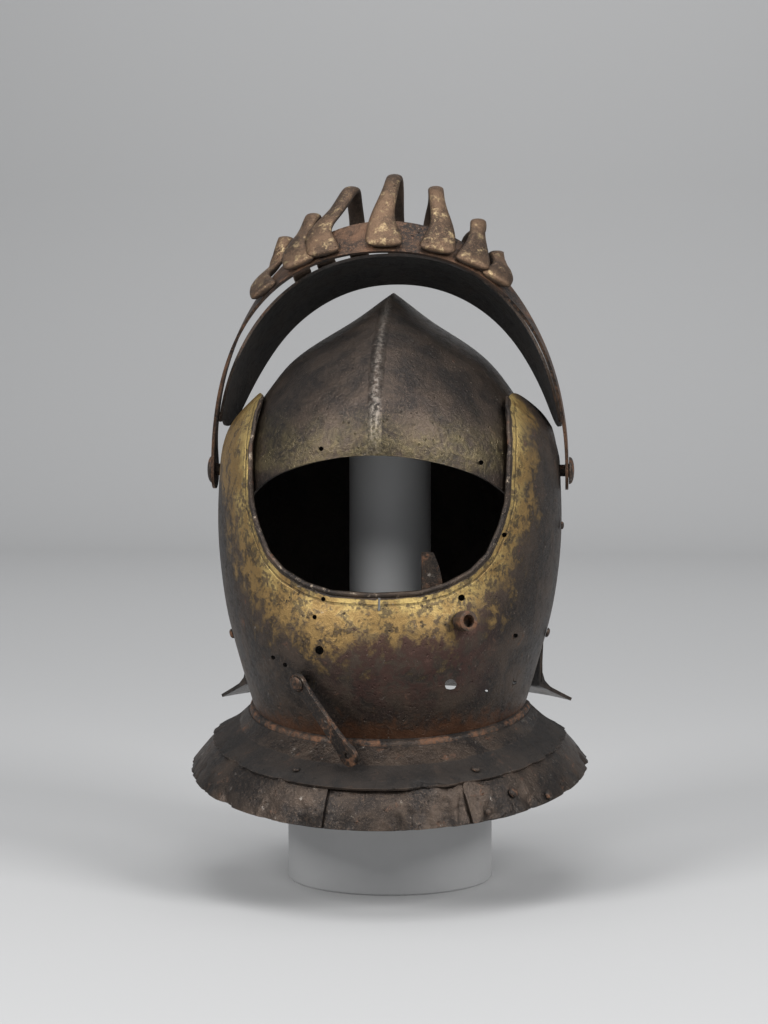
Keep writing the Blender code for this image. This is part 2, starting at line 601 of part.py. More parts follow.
def make_stay(look, pivot):
    """The stay arm, a flat hook that turns on its rivet and bridges the neck, with a holed foot."""
    start, axis, along, length = stay_frame()
    head, foot = 0.68 * STAY_WIDTH, 0.8 * STAY_WIDTH
    outline = [(head * math.cos(t), head * math.sin(t)) for t in np.radians(range(45, 316, 30))]
    outline += [(length + foot * math.cos(t), foot * math.sin(t)) for t in np.radians(range(-140, 141, 28))]
    bm = bmesh.new()
    face = bm.faces.new([bm.verts.new((x, y, 0)) for x, y in outline])
    grown = bmesh.ops.extrude_face_region(bm, geom=[face])["geom"]
    raised = [v for v in grown if isinstance(v, bmesh.types.BMVert)]
    bmesh.ops.translate(bm, verts=raised, vec=(0, 0, STAY_THICKNESS))
    bmesh.ops.recalc_face_normals(bm, faces=bm.faces)
    side = axis.cross(along)
    place = Matrix((along, side, axis)).transposed().to_4x4()
    place.translation = start
    arm = add_object("stay_arm", bm, look, pivot)
    arm.matrix_local = place
    holes = bmesh.new()
    shank = 0.28 * STAY_WIDTH
    for x, radius in ((0, shank + GAP), (length, 0.23 * STAY_WIDTH)):
        x_axis = Vector((x, 0, 0))
        up = Vector((0, 0, 2 * STAY_THICKNESS))
        add_drill(holes, place @ (x_axis - up), place @ (x_axis + up), radius, 10)
    cut(arm, holes, "stay_holes")
    profile = [(0, GAP - STAY_STANDOFF), (shank, GAP - STAY_STANDOFF), (shank, STAY_THICKNESS + GAP)]
    profile += dome(0.56 * STAY_WIDTH, RIVET_HEIGHT, STAY_THICKNESS + GAP)
    pin = add_object("stay_rivet", turned(profile, 12), look, pivot)
    place_on(pin, start, axis)


def make_rivets(bevor_look, gorget_look, pivot):
    """The rivet heads on the bevor's sides and on the gorget."""
    rivet("side_rivet_left", bevor_spot, -84, 0.66 * BEVOR_DROP, bevor_look, pivot)
    rivet("side_rivet_right_lower", bevor_spot, 84, 0.645 * BEVOR_DROP, bevor_look, pivot)
    rivet("side_rivet_right_upper", bevor_spot, 83, 0.215 * BEVOR_DROP, bevor_look, pivot, 0.8)
    rivet("gorget_rivet_upper_left", gorget_surface, -27, 0.7, gorget_look, pivot, 0.8)
    rivet("gorget_rivet_upper_right", gorget_surface, 34, 0.75, gorget_look, pivot, 0.9)

    def lower(u, v):
        return gorget_surface(u, v) - (PLATE + GAP) * normal_at(gorget_surface, u, v)

    rivet("gorget_rivet_lower_inner", lower, 33, 1.8, gorget_look, pivot, 0.7)
    rivet("gorget_rivet_lower_middle", lower, 43, 1.5, gorget_look, pivot)
    rivet("gorget_rivet_lower_outer", lower, 55, 1.85, gorget_look, pivot, 0.9)


def make_stand(look, skull):
    """The stand: a round base, and a post whose top bears the inside of the crown."""
    bpy.context.view_layer.update()
    flat = POST_RADIUS - BASE_BEVEL
    turns = [2 * math.pi * i / 24 for i in range(24)]
    rays = [skull.ray_cast((flat * math.cos(t), flat * math.sin(t), 0), (0, 0, 1)) for t in turns]
    top = PIVOT_HEIGHT + min(spot.z for _, spot, _, _ in rays) - GAP
    rim = BASE_RADIUS - BASE_BEVEL
    profile = [(0, 0), (rim, 0), (BASE_RADIUS, BASE_BEVEL), (BASE_RADIUS, BASE_HEIGHT - BASE_BEVEL)]
    profile += [(rim, BASE_HEIGHT), (POST_RADIUS, BASE_HEIGHT), (POST_RADIUS, top - BASE_BEVEL), (flat, top), (0, top)]
    add_object("stand", turned(profile, 40), look)


def main():
    for old in list(bpy.data.objects):
        bpy.data.objects.remove(old, do_unlink=True)
    pivot = bpy.data.objects.new("pivot", None)
    pivot.location = (0, 0, PIVOT_HEIGHT)
    bpy.context.scene.collection.objects.link(pivot)
    iron = ((0.085, 0.062, 0.048), 0.85, 0.5)
    dark_iron = ((0.045, 0.038, 0.034), 0.85, 0.5)
    red_iron = ((0.16, 0.075, 0.045), 0.75, 0.55)
    worn_bar = ((0.2, 0.14, 0.085), 0.85, 0.45)
    rust = ((0.24, 0.1, 0.04), 0.4, 0.75)
    stand_paint = ((0.66, 0.66, 0.64), 0, 0.6)
    skull = make_skull(dark_iron, pivot)
    make_bevor(iron, pivot)
    make_neck_ring(rust, pivot)
    make_gorget(iron, dark_iron, pivot)
    make_visor_bands(red_iron, dark_iron, pivot)
    for number, (foot, tip, rear, rise) in enumerate(BARS, 1):
        make_bar(f"visor_bar_{number}", foot, tip, rear, rise, worn_bar, pivot)
    make_pivot_rivets(worn_bar, pivot)
    make_catch(iron, pivot)
    make_stay(rust, pivot)
    make_rivets(worn_bar, iron, pivot)
    make_stand(stand_paint, skull)


main()
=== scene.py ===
"""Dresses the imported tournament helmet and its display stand, and sets it in a plain grey studio."""

import json
import math

import bpy
from mathutils import Matrix, Vector, noise

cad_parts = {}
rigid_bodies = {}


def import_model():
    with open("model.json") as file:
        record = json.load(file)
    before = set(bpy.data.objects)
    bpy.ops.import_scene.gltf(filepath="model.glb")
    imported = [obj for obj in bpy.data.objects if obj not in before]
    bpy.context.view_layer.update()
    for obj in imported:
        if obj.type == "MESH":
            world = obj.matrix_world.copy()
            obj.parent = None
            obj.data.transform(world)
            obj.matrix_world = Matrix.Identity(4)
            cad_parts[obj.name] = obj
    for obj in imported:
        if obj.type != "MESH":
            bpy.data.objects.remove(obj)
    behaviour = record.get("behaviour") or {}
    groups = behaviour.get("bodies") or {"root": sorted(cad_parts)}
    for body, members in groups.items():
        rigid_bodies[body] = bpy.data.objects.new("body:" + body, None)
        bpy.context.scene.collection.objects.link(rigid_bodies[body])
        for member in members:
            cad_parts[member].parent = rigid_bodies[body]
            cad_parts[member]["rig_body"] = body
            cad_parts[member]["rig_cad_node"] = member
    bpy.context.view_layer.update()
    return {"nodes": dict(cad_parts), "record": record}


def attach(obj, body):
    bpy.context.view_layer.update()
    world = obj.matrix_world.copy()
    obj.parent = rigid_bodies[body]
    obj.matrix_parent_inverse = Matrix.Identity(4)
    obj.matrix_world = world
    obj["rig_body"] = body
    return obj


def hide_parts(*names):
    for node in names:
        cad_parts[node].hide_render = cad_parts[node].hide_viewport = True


bl_info = {
    "name": "Tournament helmet on a stand",
    "version": (1, 0, 0),
    "blender": (4, 5, 0),
    "location": "View3D > Sidebar > Helmet",
    "description": "Dresses a tournament helmet on its display stand and lights it",
    "category": "Object",
}

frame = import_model()
MM = 0.001

# The bevor, as the frame has it: its sections, and the line of its upper edge
PIVOT_HEIGHT = 270 * MM
BEVOR_DROP = 163 * MM
EAR_RISE = 51.84 * MM
RIM_DROP = 71.2 * MM
BEVOR_HALF_WIDTH = 112 * MM
BEVOR_REACH = 137.5 * MM
# Its sections: (share of the ear's rise above the pivot or of the drop below it, of its half-width,
# of its reach)
BEVOR_SECTIONS = [(-1, 0.781, 0.796), (-0.933, 0.805, 0.832), (-0.828, 0.852, 0.905), (-0.675, 0.914, 0.978)]
BEVOR_SECTIONS += [(-0.558, 0.96, 0.978), (-0.437, 0.987, 0.938), (-0.337, 1.004, 0.942)]
BEVOR_SECTIONS += [(-0.184, 1.013, 0.971), (0, 1, 0.985), (0.35, 0.987, 0.96), (0.58, 0.946, 0.885)]
BEVOR_SECTIONS += [(0.77, 0.88, 0.87), (0.92, 0.795, 0.83), (1, 0.757, 0.8)]
# Half of its upper edge: (degrees from the front, share of the ear's rise or, below the pivots,
# of the rim's drop)
RIM_LINE = [(0, -1), (14, -0.983), (23, -0.921), (31.4, -0.815), (37.7, -0.668), (42, -0.449), (45.4, -0.225)]
RIM_LINE += [(46.4, 0), (47.4, 0.29), (49.5, 0.58), (56.5, 0.83), (64, 0.94)]

RIM_STEPS = 72  # in half of the rolled rim
RIM_SINK = 0.8 * MM  # how far the rolled rim is sunk into the bevor's edge
RIM_THINNING = 0.45  # lost at the ears' tips, as a share of its radius
RIM_THINS_FROM = 0.62  # as a share of the way from the middle to an ear's tip

# How rust has eaten into the gorget
EDGE_BAND = 9 * MM  # how far in from the edge
EDGE_SECTOR = 3  # degrees
BITES = 70  # per metre
DEEP_BITES = 45  # per metre
DEEP_BITE_SHARE = 2.5
DEEP_BITE_FROM = 0.28

# The widened feet of the visor's bars
FOOT_REACH = 20 * MM  # round the lowest point, what counts as the foot
FOOT_TAPER = 1.35  # per length of the leg
FOOT_POWER = 1.3
BAR_ARCH_RISE = 160 * MM  # of the bars' feet over the pivots, in the middle
FOOT_TILT = 0.9

# What looks inward is told from this height, with heights counted as less than widths
HELMET_MIDDLE = 260 * MM
HEIGHT_SHARE = 0.6

# The sizes of what is scattered over the iron
CLOUD = 24 * MM
PATCH = 9 * MM
GRAIN = 2.2 * MM
FINE_GRAIN = 0.55 * MM
PIT = 3.4 * MM
SCALE = 5 * MM
WEAR = 6 * MM
FLECK = 1.6 * MM

# The studio
FLOOR_SCALE = (14, 6, 1)
FLOOR_PLACE = (0, -0.2, 0)
SWEEP_STEPS = 12
SWEEP_STEP = 0.09
WALL_HEIGHT = 2.6
PAPER_ROUGHNESS = 0.85
WORLD_COLOUR = (0.8, 0.82, 0.85, 1)
WORLD_STRENGTH = 0.5
# Lamps: (name, place, what it looks at, size, power in watts)
LAMPS = [
    ("left box", (-1.25, -1.35, 1.35), (0, 0, 0.35), 0.8, 30),
    ("right box", (1.45, -1.15, 1.35), (0, 0, 0.35), 0.8, 32),
    ("top", (0, -0.3, 2.0), (0, 0, 0.3), 1.2, 16),
    ("wall", (0, 1.9, 2.4), (0, 3.7, 0.9), 2.2, 26),
]
FOCAL_LENGTH = 2579  # in the photograph's pixels
PHOTO_HEIGHT = 1024  # pixels
SENSOR = 36  # millimetres, along the photograph's height
VIEW_DROP = 156  # pixels from the horizon down to the picture's middle
VIEW_SHIFT = 4 * MM  # to the left of the stand's axis

BODIES = {node: body for body, nodes in frame["record"]["behaviour"]["bodies"].items() for node in nodes}


def between(table, place):
    """The values of a table's rows at a place given in its first column, along straight lines."""
    for low, high in zip(table, table[1:]):
        if place <= high[0]:
            t = (place - low[0]) / (high[0] - low[0])
            return [a + (b - a) * t for a, b in zip(low[1:], high[1:])]
    return list(table[-1][1:])


class Value:
    """A node's socket in an expression. Arithmetic on it adds Math nodes."""

    def __init__(self, look, socket):
        self.look, self.socket = look, socket

    def maths(self, operation, other=0.0, swapped=False):
        pair = (other, self) if swapped else (self, other)
        return self.look.node("ShaderNodeMath", {"operation": operation}, {0: pair[0], 1: pair[1]})

    def __add__(self, other):
        return self.maths("ADD", other)

    def __radd__(self, other):
        return self.maths("ADD", other)

    def __sub__(self, other):
        return self.maths("SUBTRACT", other)

    def __rsub__(self, other):
        return self.maths("SUBTRACT", other, swapped=True)

    def __mul__(self, other):
        return self.maths("MULTIPLY", other)


class Look:
    """A material while its nodes are put together."""

    def __init__(self, name):
        self.material = bpy.data.materials.new(name)
        self.material.use_nodes = True
        self.tree = self.material.node_tree
        self.tree.nodes.clear()
        self.place = self.node("ShaderNodeTexCoord", output="Object")

    def node(self, kind, settings=None, inputs=None, output=0):
        """Adds a node: its settings first, then the values or links of its sockets."""
        made = self.tree.nodes.new(kind)
        for key, value in (settings or {}).items():
            setattr(made, key, value)
        for key, value in (inputs or {}).items():
            if isinstance(value, Value):
                self.tree.links.new(value.socket, made.inputs[key])
            else:
                made.inputs[key].default_value = value
        return Value(self, made.outputs[output]) if made.outputs else None

    def noise(self, size, detail=5.0, rough=0.55, distortion=0.0, shift=0.0):
        """Cloudy noise whose blotches are about this size."""
        moved = {"Vector": self.place, "Location": (shift, 0.37 * shift, 0.7 * shift)}
        place = self.node("ShaderNodeMapping", inputs=moved)
        inputs = {"Vector": place, "Scale": 1 / size, "Detail": detail}
        inputs |= {"Roughness": rough, "Distortion": distortion}
        return self.node("ShaderNodeTexNoise", inputs=inputs)

    def cells(self, size, smooth=0.4):
        """The distance to the nearest of many scattered points, in shares of a cell."""
        inputs = {"Vector": self.place, "Scale": 1 / size, "Smoothness": smooth, "Randomness": 1.0}
        return self.node("ShaderNodeTexVoronoi", {"feature": "SMOOTH_F1"}, inputs)

    def step(self, value, low, high):
        """0 below low, 1 above high, and a soft rise between them. A low above the high turns it round."""
        if low > high:
            return 1.0 - self.step(value, high, low)
        inputs = {"Value": value, "From Min": low, "From Max": high, "To Min": 0.0, "To Max": 1.0}
        return self.node("ShaderNodeMapRange", {"interpolation_type": "SMOOTHSTEP"}, inputs)

    def mix(self, share, first, second):
        """From the first colour to the second."""
        ends = [(*c, 1.0) if isinstance(c, tuple) else c for c in (first, second)]
        return self.node("ShaderNodeMix", {"data_type": "RGBA"}, {0: share, 6: ends[0], 7: ends[1]}, output=2)

    def attribute(self, name):
        """A number that the piece's mesh holds at each point."""
        return self.node("ShaderNodeAttribute", {"attribute_name": name}, output="Fac")

    def axes(self):
        """The place's x, y and z as three values, in metres."""
        split = self.tree.nodes.new("ShaderNodeSeparateXYZ")
        self.tree.links.new(self.place.socket, split.inputs[0])
        return [Value(self, output) for output in split.outputs]

    def finish(self, colour, rough, metal, height=None):
        """Ends the nodes in one shader, with the height in metres as its bump."""
        inputs = {"Base Color": colour, "Roughness": rough, "Metallic": metal}
        if height is not None:
            bump = {"Strength": 1.0, "Distance": 1.0, "Height": height}
            inputs["Normal"] = self.node("ShaderNodeBump", inputs=bump)
        shader = self.node("ShaderNodeBsdfPrincipled", inputs=inputs)
        self.node("ShaderNodeOutputMaterial", inputs={"Surface": shader})
        return self.material


def underlayer(look, colour, red, cloud, patch):
    """Adds the reddish ground that shows below the gilding, right of the middle."""
    ragged = look.attribute("rim_distance") + (cloud - 0.5) * 0.06
    under = look.step(ragged, 22 * MM, 34 * MM) * look.step(ragged, 85 * MM, 55 * MM)
    x = look.axes()[0]
    sides = look.step(x, -50 * MM, 0.0) * look.step(x, 85 * MM, 50 * MM)
    return look.mix(under * look.step(patch, 0.42, 0.56) * sides * 0.7, colour, red)


def gilding(look, colour, gilt, dark, cloud, patch, grain, pit):
    """Adds worn gilding round the face opening. Gives the colour, the gilt share and the rim's groove."""
    gold, pale_gold = gilt
    x, _, z = look.axes()
    near = look.attribute("rim_distance")
    ear = look.step(z, 240 * MM, 300 * MM)
    left = look.step(x, 20 * MM, -30 * MM)
    right = look.step(x, 30 * MM, 80 * MM)
    reach = near + (cloud - 0.5) * 0.09 + (patch - 0.5) * 0.05
    reach = reach - ear * left * 0.05 - left * 0.004 + right * 0.006
    cover = look.step(reach, 44 * MM, 18 * MM) * look.step(near, 2.8 * MM, 3.6 * MM)
    loss = look.step(grain * 0.45 + patch * 0.8 - ear * 0.05, 0.58, 0.7)
    cover = cover * (1.0 - loss * 0.8) * (1.0 - pit)
    best = look.step(cloud + patch * 0.7 - near * 9.0, 0.62, 0.9)
    colour = look.mix(cover * 0.9, colour, look.mix(best, gold, pale_gold))
    groove = look.step(near, 5.6 * MM, 6.3 * MM) * look.step(near, 7.8 * MM, 7.0 * MM)
    return look.mix(groove * 0.45, colour, shade(dark, 0.5)), cover, groove


def ridge_and_brow(look, colour, bright, cloud, patch, grain):
    """Adds wear along the skull's ridge and a trace of gilding at the brow. Gives the colour and the ridge."""
    x, y, z = look.axes()
    aside = x.maths("ABSOLUTE") + (patch - 0.5) * 0.002
    crest = look.step(aside, 5.2 * MM, 0.8 * MM) * look.step(z, 275 * MM, 300 * MM)
    colour = look.mix(crest * look.step(grain, 0.4, 0.6) * 0.45, colour, bright)
    brow = look.step(z + (cloud - 0.5) * 0.03, 315 * MM, 285 * MM)
    brow = brow * look.step(z, 270 * MM, 276 * MM) * look.step(y, -40 * MM, -80 * MM)
    colour = look.mix(brow * look.step(grain * 0.4 + patch, 0.5, 0.9) * 0.5, colour, tone("brow_tint"))
    return colour, crest


def shade(colour, share):
    """A colour made darker or lighter."""
    return tuple(share * c for c in colour)


def old_iron(
    name, dark, brown, rust, bright, rusty=0.5, worn=0.5, gilt=None, red=None, neck=0.0, gloss=0.0, ridge=False
):
    """Dark patinated iron: blotches of brown, rust in the hollows, bright wear and pits, with painted shade on
    the faces that look into the helmet.
    """
    look = Look(name)
    cloud = look.noise(CLOUD, 6, 0.62, 0.3)
    patch = look.noise(PATCH, 7, 0.68, 0.5, shift=3.1)
    grain = look.noise(GRAIN, 5, 0.6)
    fine = look.noise(FINE_GRAIN, 3, 0.6)
    pit = look.step(look.cells(PIT), 0.3, 0.12) * look.step(patch, 0.5, 0.62)
    scale = look.step(look.noise(SCALE, 6, 0.7, shift=7.7), 0.52, 0.6)
    eaten = look.step(patch * 0.7 + cloud * 0.35 + grain * 0.2, 0.78 - 0.2 * rusty, 0.92 - 0.2 * rusty)
    shine = look.step(look.noise(WEAR, 8, 0.72, shift=5.3), 0.68 - 0.16 * worn, 0.76 - 0.1 * worn)
    height = cloud * 0.0011 + patch * 0.0007 + grain * 0.00036 + fine * 0.00012 - pit * 0.0006

    colour = look.mix(look.step(cloud, 0.38, 0.64), dark, brown)
    colour = look.mix(look.step(grain, 0.42, 0.7) * 0.5, colour, shade(dark, 0.35))
    colour = look.mix(look.step(fine * 0.5 + grain * 0.6, 0.56, 0.66) * 0.45, colour, shade(brown, 1.9))
    colour = look.mix(eaten * 0.85, colour, rust)
    if red:
        colour = underlayer(look, colour, red, cloud, patch)
    if gilt:
        colour, cover, groove = gilding(look, colour, gilt, dark, cloud, patch, grain, pit)
        height = height - groove * 0.0003 + cover * 0.00006
    if neck:
        low = look.step(look.axes()[2] + (patch - 0.5) * 0.05, neck, neck - 16 * MM)
        colour = look.mix(low * 0.6, colour, rust)
    fleck = look.step(look.noise(FLECK, 4, 0.7, shift=11.0), 0.66, 0.74) * look.step(patch, 0.45, 0.62)
    colour = look.mix(fleck * 0.55, colour, shade(rust, 1.6))
    if ridge:
        colour, crest = ridge_and_brow(look, colour, bright, cloud, patch, grain)
        height = height + crest * 0.0013
    inside = look.attribute("inside")
    colour = look.mix(shine * 0.8 * (1.0 - inside), colour, bright)
    # Painted shade: faces that look into the helmet are darkened towards near black
    colour = look.mix(inside * 0.7, colour, shade(dark, 0.3))
    rough = 0.4 - gloss + cloud * 0.12 + eaten * 0.22 + scale * 0.1 - shine * 0.14 + inside * 0.3
    metal = 0.8 - eaten * 0.55 - inside * 0.4
    return look.finish(colour, rough, metal, height)


def painted(name, colour):
    """Matt paint on a smooth wooden body, with a faint roller texture."""
    look = Look(name)
    blotch = look.noise(30 * MM, 4, 0.5)
    grain = look.noise(0.9 * MM, 3, 0.5)
    paint = look.mix(look.step(blotch, 0.3, 0.7), colour, shade(colour, 0.965))
    return look.finish(paint, 0.52 + grain * 0.1, 0.0, grain * 0.00003)


def select_only(piece):
    """Makes a piece the one selected, active object."""
    bpy.ops.object.select_all(action="DESELECT")
    piece.select_set(True)
    bpy.context.view_layer.objects.active = piece


def apply(piece, kind, **settings):
    """Adds a modifier to a piece and applies it."""
    select_only(piece)
    modifier = piece.modifiers.new(kind.title(), kind)
    for key, value in settings.items():
        setattr(modifier, key, value)
    bpy.ops.object.modifier_apply(modifier=modifier.name)


def keep_piece(piece, name, body, look, smooth):
    """Names a finished piece, gives it its look, and makes it ride with its body."""
    piece.name = name
    piece.data.name = name
    piece.data.materials.clear()
    piece.data.materials.append(look)
    select_only(piece)
    bpy.ops.object.shade_smooth_by_angle(angle=math.radians(smooth))
    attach(piece, body)


def reworked(node, levels=2, crease_from=50, crease=1.0, ridge=0.0, grow=0.0, foot=0.0):
    """A rounded-off copy of a node's mesh: merged, made of quads, subdivided, with its sharp edges kept."""
    piece = frame["nodes"][node].copy()
    piece.data = piece.data.copy()
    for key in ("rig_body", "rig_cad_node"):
        if key in piece:
            del piece[key]
    piece.parent = None
    piece.matrix_world = Matrix.Identity(4)
    bpy.context.scene.collection.objects.link(piece)
    select_only(piece)
    bpy.ops.object.mode_set(mode="EDIT")
    bpy.ops.mesh.select_all(action="SELECT")
    bpy.ops.mesh.customdata_custom_splitnormals_clear()
    bpy.ops.mesh.remove_doubles(threshold=0.01 * MM)
    bpy.ops.mesh.tris_convert_to_quads(face_threshold=math.radians(30), shape_threshold=math.radians(60))
    if crease:
        bpy.ops.mesh.select_mode(type="EDGE")
        bpy.ops.mesh.select_all(action="DESELECT")
        bpy.ops.mesh.edges_select_sharp(sharpness=math.radians(crease_from))
        bpy.ops.transform.edge_crease(value=crease)
        bpy.ops.mesh.select_mode(type="VERT")
    if grow:
        bpy.ops.mesh.select_all(action="SELECT")
        bpy.ops.transform.shrink_fatten(value=grow)
    bpy.ops.object.mode_set(mode="OBJECT")
    if ridge:
        crease_ridge(piece, ridge)
    if foot:
        splay_foot(piece, foot)
    apply(piece, "SUBSURF", levels=levels, render_levels=levels)
    return piece


def splay_foot(piece, most):
    """Widens a bar's front leg towards its foot."""
    points = piece.data.vertices
    top = max(points, key=lambda v: v.co.z).co.copy()
    front = [v for v in points if v.co.y < top.y]
    base = min(front, key=lambda v: v.co.z - 0.3 * v.co.y).co.copy()
    near = [v.co for v in front if (v.co - base).length < FOOT_REACH]
    base = sum(near, Vector()) / len(near)
    leg = top - base
    side = Vector((1, 0, -base.x / BAR_ARCH_RISE * FOOT_TILT)).normalized()
    for v in front:
        along = (v.co - base).dot(leg) / leg.length_squared
        wide = most * max(0.0, 1 - max(0.0, along) * FOOT_TAPER) ** FOOT_POWER
        axis = base + leg * along
        v.co += side * (v.co - axis).dot(side) * wide


def crease_ridge(piece, strength):
    """Sharpens the edges along a piece's middle, over the crown."""
    points = piece.data.vertices
    layers = piece.data.attributes
    layer = layers.get("crease_edge") or layers.new("crease_edge", "FLOAT", "EDGE")
    for edge in piece.data.edges:
        ends = [points[i].co for i in edge.vertices]
        if all(abs(c.x) < 0.2 * MM and c.z > PIVOT_HEIGHT for c in ends):
            layer.data[edge.index].value = max(layer.data[edge.index].value, strength)


def mark(piece, name, measure):
    """Stores a number at each point of a piece's mesh."""
    layer = piece.data.attributes.new(name, "FLOAT", "POINT")
    layer.data.foreach_set("value", [measure(v) for v in piece.data.vertices])


def facing_inward(vertex):
    """1 where a point's face looks into the helmet, 0 outside. The iron's colour is darkened there as painted
    shade.
    """
    out = Vector((vertex.co.x, vertex.co.y, HEIGHT_SHARE * (vertex.co.z - HELMET_MIDDLE)))
    return 1.0 if vertex.normal.dot(out) < 0 else 0.0


def bevor_point(angle, z):
    """The bevor's outer face at an angle from the front and a height above the pivots."""
    width, reach = between(BEVOR_SECTIONS, z / EAR_RISE if z > 0 else z / BEVOR_DROP)
    side, ahead = math.sin(math.radians(angle)), math.cos(math.radians(angle))
    depth = BEVOR_REACH * reach * ahead
    return Vector((BEVOR_HALF_WIDTH * width * side, -depth, z + PIVOT_HEIGHT))


def rim_points():
    """Points along the bevor's upper edge, from the left ear to the right, on its outer face."""
    half = []
    for i in range(RIM_STEPS + 1):
        place = i / RIM_STEPS * (len(RIM_LINE) - 1)
        row = min(int(place), len(RIM_LINE) - 2)
        angle, share = (a + (b - a) * (place - row) for a, b in zip(RIM_LINE[row], RIM_LINE[row + 1]))
        half.append((angle, share * (EAR_RISE if share > 0 else RIM_DROP)))
    return [bevor_point(-a, z) for a, z in reversed(half)] + [bevor_point(a, z) for a, z in half[1:]]


def ragged_edge(piece, deep):
    """Eats into a plate's outer edge: the points near it are drawn inward by noise."""
    points = piece.data.vertices
    furthest = {}
    sectors = [math.degrees(math.atan2(v.co.x, -v.co.y)) / EDGE_SECTOR for v in points]
    for v, sector in zip(points, sectors):
        turn = round(sector)
        furthest[turn] = max(furthest.get(turn, 0), math.hypot(v.co.x, v.co.y))
    for v, sector in zip(points, sectors):
        low = math.floor(sector)
        share, here = sector - low, furthest.get(low, 0)
        edge = here * (1 - share) + furthest.get(low + 1, here) * share
        near = max(0.0, 1 - max(0.0, edge - math.hypot(v.co.x, v.co.y)) / EDGE_BAND)
        at = Vector((v.co.x, v.co.y, 0))
        bite = noise.fractal(at * BITES, 0.8, 2.1, 4)
        bite += DEEP_BITE_SHARE * max(0.0, noise.noise(at * DEEP_BITES) - DEEP_BITE_FROM)
        v.co -= at.normalized() * near * deep * max(0.0, bite)


def rolled_rim(radius, body, look):
    """The rolled edge round the face opening: a rod along the bevor's upper edge, thinner over the ears."""
    line = rim_points()
    path = bpy.data.curves.new("rim_path", "CURVE")
    path.dimensions = "3D"
    spline = path.splines.new("POLY")
    spline.points.add(len(line) - 1)
    for i, (point, place) in enumerate(zip(spline.points, line)):
        inward = Vector((place.x, place.y, 0)).normalized() * RIM_SINK
        point.co = (*(place - inward), 1)
        end = abs(2 * i / (len(line) - 1) - 1)
        point.radius = 1 - RIM_THINNING * max(0.0, (end - RIM_THINS_FROM) / (1 - RIM_THINS_FROM))
    path.bevel_depth = radius
    path.bevel_resolution = 3
    path.use_fill_caps = True
    rod = bpy.data.objects.new("face_rim", path)
    bpy.context.scene.collection.objects.link(rod)
    select_only(rod)
    bpy.ops.object.convert(target="MESH")
    mark(rod, "inside", lambda v: 0.0)
    keep_piece(rod, "face_rim", body, look, 80)


class HelmetColours(bpy.types.PropertyGroup):
    """Colours of the helmet and its stand."""

    def colour(name, description, default):
        return bpy.props.FloatVectorProperty(
            name=name, description=description, default=default, min=0, max=1, subtype="COLOR"
        )

    dark: colour("Dark iron", "The iron's darkest patina", (0.026, 0.022, 0.02))
    brown: colour("Brown iron", "The iron's warmer blotches", (0.075, 0.055, 0.042))
    red_brown: colour("Reddish iron", "The visor's front band", (0.15, 0.085, 0.052))
    rust: colour("Rust", "Rust in the hollows", (0.13, 0.052, 0.022))
    orange: colour("Orange rust", "Fresh rust round the neck and the stay", (0.17, 0.075, 0.034))
    bright: colour("Worn iron", "Bare iron where it is rubbed", (0.34, 0.3, 0.26))
    gold: colour("Gilding", "Worn gilding round the face opening", (0.3, 0.19, 0.07))
    pale_gold: colour("Bright gilding", "The gilding where it is best kept", (0.55, 0.4, 0.15))
    underlayer: colour("Underlayer", "Reddish ground under the gilding", (0.07, 0.034, 0.028))
    brow_tint: colour("Brow tint", "The last trace of gilding along the brow", (0.2, 0.16, 0.075))
    rim_bright: colour("Worn rim", "The rolled rim where it is rubbed", (0.4, 0.32, 0.24))
    bar_dark: colour("Dark bar iron", "The darkest patina of the visor's bars", (0.06, 0.04, 0.028))
    bar_brown: colour("Bar iron", "The visor's bars", (0.16, 0.1, 0.062))
    bar_gold: colour("Worn bar", "Traces of gilding on the visor's bars", (0.42, 0.31, 0.17))
    paint: colour("Stand paint", "The stand's matt paint", (0.44, 0.44, 0.44))
    backdrop: colour("Backdrop", "The studio's wall and floor", (0.44, 0.44, 0.44))


class HelmetSizes(bpy.types.PropertyGroup):
    """Sizes of what is added to the frame's solids, and of the view."""

    def length(name, description, default):
        return bpy.props.FloatProperty(
            name=name, description=description, default=default, min=0, unit="LENGTH"
        )

    rim_radius: length("Rim radius", "Radius of the rolled edge round the face opening", 1.7 * MM)
    edge_bite: length("Edge loss", "How deep rust has eaten into the gorget's edge", 4 * MM)
    camera_distance: length("Camera distance", "From the camera to the stand's axis", 1.7)
    camera_height: length("Camera height", "The camera's height above the floor", 0.345)
    camera_side: bpy.props.FloatProperty(
        name="Camera side", description="Angle to the right of straight ahead",
        default=math.radians(4.3), subtype="ANGLE"
    )


def sizes():
    """The helmet's sizes, as the panel has them."""
    return bpy.context.scene.helmet_sizes


def tone(name):
    """One of the helmet's colours, as the panel has it."""
    return tuple(getattr(bpy.context.scene.helmet_colours, name))


def iron(name, **changes):
    """The helmet's iron with some of its settings changed."""
    made = bpy.data.materials.get(name)
    settings = {"dark": tone("dark"), "brown": tone("brown"), "rust": tone("rust"), "bright": tone("bright")}
    return made or old_iron(name, **{**settings, **changes})


def dress(node, look, smooth=50, **rework):
    """Reworks a node's mesh into a piece that replaces it."""
    slot = next(s["material_slot"] for s in frame["record"]["subparts"] if s["node"] == node)
    piece = reworked(node, **rework)
    mark(piece, "inside", facing_inward)
    keep_piece(piece, f"{node}_piece", BODIES[node], look, smooth)
    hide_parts(node)
    return piece


class HELMET_OT_skull(bpy.types.Operator):
    """Dress the skull."""

    bl_idname = "helmet.skull"
    bl_label = "Skull"

    def execute(self, context):
        dress("skull", iron("skull iron", rusty=0.15, worn=0.3, gloss=0.14, ridge=True), ridge=0.75)
        return {"FINISHED"}


